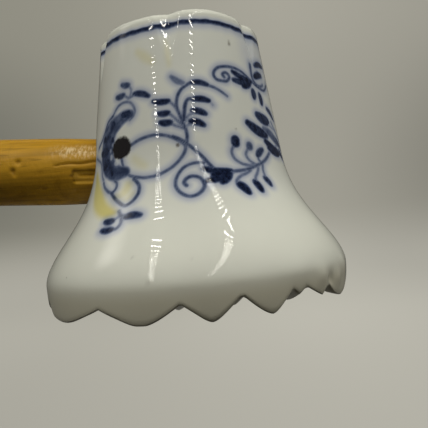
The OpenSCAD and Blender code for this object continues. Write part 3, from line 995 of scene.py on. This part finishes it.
def room_world(t):
    """Dim soft room light, which the camera sees as a pale grey wall."""
    world = bpy.data.worlds.new("soft_room")
    world.use_nodes = True
    tree = world.node_tree
    shade = tree.nodes["Background"]
    path = tree.nodes.new("ShaderNodeLightPath")
    mix = tree.nodes.new("ShaderNodeMix")
    mix.data_type = "RGBA"
    mix.inputs[6].default_value = rgba(t.room_colour)
    mix.inputs[7].default_value = rgba(t.wall_colour)
    tree.links.new(path.outputs["Is Camera Ray"], mix.inputs["Factor"])
    tree.links.new(mix.outputs[2], shade.inputs["Color"])
    return world


def facing(aside, high):
    """Side, upward and backward directions of a thing that faces the head.

    It stands in the direction given by degrees to the right of the front and degrees up.
    """
    aside, high = np.radians(aside), np.radians(high)
    back = np.array((np.sin(aside) * np.cos(high), -np.cos(aside) * np.cos(high), np.sin(high)))
    side = np.array((np.cos(aside), np.sin(aside), 0.0))
    return side, np.cross(back, side), back


def soft_lamp(name, aside, high, away, size, power):
    """A square lamp that faces the middle of the head and casts no highlight."""
    data = bpy.data.lights.new(name, "AREA")
    data.energy = power
    data.shape = "SQUARE"
    data.size = size * MM
    lamp = bpy.data.objects.new(name, data)
    axes = facing(aside, high)
    turned = Matrix(np.column_stack(axes).tolist()).to_4x4()
    turned.translation = (axes[2] * away + np.array((0.0, 0.0, LAMPS_AIM_Z))) * MM
    lamp.matrix_world = turned
    lamp.visible_glossy = False
    bpy.context.scene.collection.objects.link(lamp)


def light_rows(t):
    """One mesh of small bright quads in even rows overhead. Only reflections see it."""
    share = (np.arange(t.light_count) / t.light_count)[:, None, None]
    corners = np.array(((-0.5, -0.5), (0.5, -0.5), (0.5, 0.5), (-0.5, 0.5)))
    points = []
    for first, last in np.array(LIGHT_ROWS):
        ahead = (last - first) / np.linalg.norm(last - first)
        aside = np.array((-ahead[1], ahead[0]))
        corner = corners[:, :1] * t.light_width * aside + corners[:, 1:] * t.light_length * ahead
        points.append((first + share * (last - first) + corner).reshape(-1, 2))
    flat = np.concatenate(points)
    mesh = bpy.data.meshes.new("light_rows")
    mesh.from_pydata((np.column_stack((flat, np.full(len(flat), LIGHT_ROWS_Z))) * MM).tolist(), [],
                     np.arange(len(flat)).reshape(-1, 4).tolist())
    n = Nodes("small_lights")
    light = n.surface(**{"Base Color": BLACK, "Emission Color": rgba(t.light_colour),
                         "Emission Strength": t.light_power})
    rows = add_object("light_rows", mesh, light)
    rows.visible_camera = rows.visible_diffuse = rows.visible_shadow = False


def soft_window(t):
    """A flat grid whose glow eases from its middle to nothing at an oval's edge. Only reflections see it."""
    aside, high, away, wide, tall = WINDOW
    side, upward, back = facing(aside, high)
    steps = np.linspace(-1.0, 1.0, WINDOW_STEPS)
    u, v = (part[..., None] for part in np.meshgrid(steps, steps, indexing="ij"))
    points = back * away + 0.5 * wide * u * side + 0.5 * tall * v * upward
    place = np.arange(WINDOW_STEPS ** 2).reshape(WINDOW_STEPS, WINDOW_STEPS)
    corners = (place[:-1, :-1], place[1:, :-1], place[1:, 1:], place[:-1, 1:])
    quads = np.stack(corners, -1).reshape(-1, 4)
    mesh = bpy.data.meshes.new("soft_window")
    mesh.from_pydata((points.reshape(-1, 3) * MM).tolist(), [], quads.tolist())
    set_attribute(mesh, "glow", t.window_power * ease(1.0 - np.hypot(u, v)).ravel())
    n = Nodes("window_light")
    light = n.surface(**{"Base Color": BLACK, "Emission Color": rgba(t.light_colour),
                         "Emission Strength": n.attribute("glow")})
    window = add_object("soft_window", mesh, light)
    window.visible_camera = window.visible_diffuse = window.visible_shadow = False


def build_stage(t):
    """A pale floor that sweeps up into a wall, lamps and lights, and the camera at the photograph's place."""
    scene = bpy.context.scene
    mesh = open_mesh("pale_floor", floor_grid(t), (0, 0, -t.floor_drop))
    add_object("pale_floor", mesh, paper_material(t))
    scene.world = room_world(t)
    for name, *lamp in LAMPS:
        soft_lamp(name, *lamp)
    light_rows(t)
    soft_window(t)

    data = bpy.data.cameras.new("camera")
    data.sensor_width = 36.0
    data.sensor_fit = "HORIZONTAL"
    data.lens = t.camera_lens
    data.clip_start = 0.005
    data.dof.use_dof = False
    camera = bpy.data.objects.new("camera", data)
    yaw, pitch, roll = t.camera_yaw, t.camera_pitch, t.camera_roll
    forward = np.array((np.cos(yaw) * np.cos(pitch), np.sin(yaw) * np.cos(pitch), np.sin(pitch)))
    right = np.array((np.sin(yaw), -np.cos(yaw), 0.0))
    upward = np.cross(right, forward)
    rolled_right = np.cos(roll) * right + np.sin(roll) * upward
    rolled_up = np.cos(roll) * upward - np.sin(roll) * right
    place = Matrix(np.column_stack((rolled_right, rolled_up, -forward)).tolist()).to_4x4()
    place.translation = t.camera_place * MM
    camera.matrix_world = place
    scene.collection.objects.link(camera)
    scene.camera = camera
    scene.view_settings.view_transform = "Standard"


def length(name, text, default):
    """A setting in metres."""
    return FloatProperty(name=name, description=text, default=default, unit="LENGTH", precision=4)


def colour(name, text, default):
    """A setting that is a colour."""
    return FloatVectorProperty(name=name, description=text, default=default, size=3, subtype="COLOR",
                               min=0.0, max=1.0)


def angle_of(name, text, degrees):
    """A setting that is an angle, given here in degrees."""
    return FloatProperty(name=name, description=text, default=float(np.radians(degrees)), subtype="ANGLE")


def number(name, text, default):
    """A setting without a unit."""
    return FloatProperty(name=name, description=text, default=default)


def count(name, text, default):
    """A setting that is a whole number."""
    return IntProperty(name=name, description=text, default=default)


class MALLET_HeadSettings(bpy.types.PropertyGroup):
    """Sizes and colours of the porcelain head."""

    head_height: length("Height", "From the tooth tips to the flat top", HEAD_HIGH.z)
    top_diameter: length("Top diameter", "Across the lobes at the top", 0.0408)
    neck_taper: number("Neck taper", "Growth of the neck's radius downwards", 0.123)
    flare_height: length("Flare height", "Where the skirt begins to flare", 0.0374)
    flare_lead: number("Flare lead", "Exponent that keeps the flare's start gentle", 1.46)
    skirt_diameter: length("Skirt diameter", "Across the skirt at its widest", 0.0756)
    skirt_height: length("Skirt height", "Height of the skirt's widest place", 0.0074)
    face_diameter: length("Face diameter", "Across the striking face at the tips", 0.0742)
    rim_round: length("Rim round", "Radius that rounds the top edge", 0.0018)
    lobes: count("Lobes", "Number of lobes round the head", 6)
    crease_depth: length("Crease depth", "Depth of the creases at the top", 0.0012)
    crease_width: length("Crease width", "Width of the creases at the top", 0.0076)
    crease_length: length("Crease length", "Length of the creases, down from the top", 0.0126)
    valley_depth: length("Valley depth", "Depth of the soft valleys below the creases", 0.0003)
    warp: length("Warp", "How far the firing let the rim sink", 0.00045)
    tooth_pitch: length("Tooth pitch", "From one row of teeth to the next", 0.0117)
    tooth_depth: length("Tooth depth", "Depth of the grooves between the rows", 0.0043)
    tooth_softness: number("Tooth softness", "How much the glaze rounds the tips", 0.34)
    row_turn: angle_of("Row turn", "From the handle's line to the direction across the first rows", -10.0)
    row_cross: angle_of("Row cross", "From the first set of rows to the second", 38.0)
    hole_gap: length("Hole gap", "Between the handle and the hole", 0.0002)
    hole_lip: length("Hole lip", "Rounded lip of the hole", 0.0011)
    hole_depth: length("Hole depth", "How deep the hole shows", 0.005)
    columns: count("Columns", "Vertices round the head", 448)
    porcelain_colour: colour("Porcelain", "Colour of the glazed body", (0.74, 0.735, 0.61))
    porcelain_shade: colour("Porcelain shade", "Greyer parts of the glazed body", (0.69, 0.685, 0.57))
    # Yellow of the old stains, and of the painted bounce light beside the handle
    stain_colour: colour("Stain", "Share of light that an old yellow stain leaves", (0.92, 0.80, 0.27))
    # Painted shade on the skirt's lower edge and the teeth
    edge_colour: colour("Edge", "Share of light that the shade_painted lower edge leaves", (0.80, 0.76, 0.68))
    grime_colour: colour("Grime", "Dirt in the grooves and round the handle", (0.30, 0.26, 0.17))
    speck_colour: colour("Speck", "Iron specks in the body", (0.10, 0.075, 0.04))
    cobalt_colour: colour("Cobalt", "Share of light that one layer lets through", (0.368, 0.415, 0.51))
    halo_reach: length("Halo reach", "How far the cobalt bled out of the strokes", 0.0024)
    halo_depth: number("Halo depth", "Layers of cobalt in the bled edge", 0.6)
    eye_colour: colour("Eye", "Dark middle of the blossom", (0.019, 0.017, 0.018))


class MALLET_HandleSettings(bpy.types.PropertyGroup):
    """Sizes and colours of the wooden handle."""

    diameter: length("Diameter", "Where the handle enters the head", 0.0178)
    grip_diameter: length("Grip diameter", "At the thickest place of the grip", 0.021)
    butt_diameter: length("Butt diameter", "Of the free end, before it is rounded", 0.017)
    length: length("Length", "Outside the head", 0.190)
    straight_length: length("Straight length", "Straight stretch outside the head", 0.036)
    butt_round: length("Butt round", "Length of the rounded free end", 0.007)
    axis_height: length("Axis height", "Where the handle's axis meets the head's axis", 0.0332)
    rake: angle_of("Rake", "How far the handle rises towards its free end", 4.3)
    tenon_reach: length("Tenon reach", "How far the handle goes past the head's axis", 0.010)
    tenon_bevel: length("Tenon bevel", "Bevel on the inner end", 0.0012)
    wall_start: length("Wall start", "From the head's axis to the wall along the handle", 0.02473)
    columns: count("Columns", "Vertices round the handle", 168)
    wood_colour: colour("Wood", "Varnished wood", (0.55, 0.288, 0.018))
    light_colour: colour("Light wood", "Where the varnish is thin", (0.62, 0.35, 0.045))
    dark_colour: colour("Dark wood", "Dirt in pores and dents", (0.16, 0.072, 0.003))
    # Colour of the pale crazing, which also carries the painted sheen
    bare_colour: colour("Crazed varnish", "Where the old varnish is crazed and pale", (0.86, 0.66, 0.36))


class MALLET_StageSettings(bpy.types.PropertyGroup):
    """Floor, light, camera and the plaster hidden in the head."""

    floor_radius: length("Floor radius", "Out to the wall", 2.0)
    floor_drop: length("Floor drop", "How far the floor lies under the teeth", 0.12)
    bend_radius: length("Bend radius", "Curve from the floor to the wall", 0.8)
    wall_height: length("Wall height", "Top of the wall", 1.5)
    floor_colour: colour("Floor", "Pale paper", (0.53, 0.514, 0.445))
    # Painted shade: the paper is darker at the left
    floor_left: colour("Floor left", "Pale paper at the left", (0.46, 0.446, 0.385))
    wall_left: colour("Wall left", "Paper of the wall at the left", (0.285, 0.276, 0.228))
    wall_right: colour("Wall right", "Paper of the wall at the right", (0.395, 0.381, 0.323))
    fade_low: length("Fade low", "Height at which the floor's tone begins to change to the wall's", -0.13)
    fade_high: length("Fade high", "Height at which it has changed", 0.08)
    paper_glow: number("Paper glow", "Share of the paper's tone that needs no light", 0.87)
    paper_mirrored: number("Paper mirrored", "Share of the paper's tone in reflections", 0.22)
    bounce_colour: colour("Bounce", "Paper as bounced light sees it", (0.04, 0.038, 0.03))
    room_colour: colour("Room light", "Dim light of the room", (0.05, 0.05, 0.045))
    wall_colour: colour("Room wall", "Room as the camera sees it", (0.36, 0.35, 0.31))
    light_count: count("Lights", "Small lights in each row overhead", 38)
    light_width: length("Light width", "Of each small light, across its row", 0.050)
    light_length: length("Light length", "Of each small light, along its row", 0.0034)
    light_colour: colour("Light colour", "Of the small lights", (1.0, 0.97, 0.88))
    light_power: number("Light power", "Glow of the small lights", 30.0)
    window_power: number("Window power", "Glow in the middle of the soft window", 2.4)
    camera_lens: number("Lens", "Focal length on a 36 mm sensor", 40.204)
    camera_place: FloatVectorProperty(name="Camera place", description="Where the camera stands", size=3,
                                      unit="LENGTH", default=(0.013653, -0.125274, 0.017812), precision=4)
    camera_yaw: angle_of("Camera yaw", "Direction that the camera looks in", 93.717)
    camera_pitch: angle_of("Camera pitch", "How far the camera looks up", 1.5)
    camera_roll: angle_of("Camera roll", "Turn of the picture", -4.775)
    plaster_colour: colour("Plaster", "Plaster inside the head", (0.66, 0.64, 0.58))


class MALLET_OT_head(bpy.types.Operator):
    """Build the painted porcelain head"""

    bl_idname = "mallet.head"
    bl_label = "Porcelain head"

    def execute(self, context):
        build_head(in_mm(context.scene.mallet_head), in_mm(context.scene.mallet_handle))
        return {"FINISHED"}


class MALLET_OT_handle(bpy.types.Operator):
    """Build the varnished wooden handle"""

    bl_idname = "mallet.handle"
    bl_label = "Wooden handle"

    def execute(self, context):
        build_handle(in_mm(context.scene.mallet_handle))
        return {"FINISHED"}


class MALLET_OT_plaster(bpy.types.Operator):
    """Give the plaster inside the head its material"""

    bl_idname = "mallet.plaster"
    bl_label = "Plaster core"

    def execute(self, context):
        core = frame["nodes"]["plaster_core"]
        core.data.materials.clear()
        core.data.materials.append(plaster_material(context.scene.mallet_stage.plaster_colour))
        return {"FINISHED"}


class MALLET_OT_stage(bpy.types.Operator):
    """Set the pale floor, the lamps and the camera"""

    bl_idname = "mallet.stage"
    bl_label = "Stage"

    def execute(self, context):
        build_stage(in_mm(context.scene.mallet_stage))
        return {"FINISHED"}


class MALLET_PT_panel(bpy.types.Panel):
    """Lists the mallet's pieces and their settings"""

    bl_idname = "MALLET_PT_panel"
    bl_label = "Porcelain mallet"
    bl_space_type = "VIEW_3D"
    bl_region_type = "UI"
    bl_category = "Mallet"

    def draw(self, context):
        for name, operator in (("mallet_head", "mallet.head"), ("mallet_handle", "mallet.handle"),
                               ("mallet_stage", "mallet.stage")):
            box = self.layout.box()
            box.operator(operator)
            group = getattr(context.scene, name)
            for prop in group.bl_rna.properties:
                if prop.identifier not in {"rna_type", "name"}:
                    box.prop(group, prop.identifier)
        self.layout.operator("mallet.plaster")


CLASSES = (
    MALLET_HeadSettings, MALLET_HandleSettings, MALLET_StageSettings, MALLET_OT_head, MALLET_OT_handle,
    MALLET_OT_plaster, MALLET_OT_stage, MALLET_PT_panel,
)


def register():
    for cls in CLASSES:
        bpy.utils.register_class(cls)
    bpy.types.Scene.mallet_head = PointerProperty(type=MALLET_HeadSettings)
    bpy.types.Scene.mallet_handle = PointerProperty(type=MALLET_HandleSettings)
    bpy.types.Scene.mallet_stage = PointerProperty(type=MALLET_StageSettings)


def unregister():
    del bpy.types.Scene.mallet_head, bpy.types.Scene.mallet_handle, bpy.types.Scene.mallet_stage
    for cls in reversed(CLASSES):
        bpy.utils.unregister_class(cls)


def main():
    """Builds the pieces and the stage in order."""
    register()
    bpy.ops.mallet.head()
    bpy.ops.mallet.handle()
    bpy.ops.mallet.plaster()
    bpy.ops.mallet.stage()


if __name__ == "__main__":
    main()
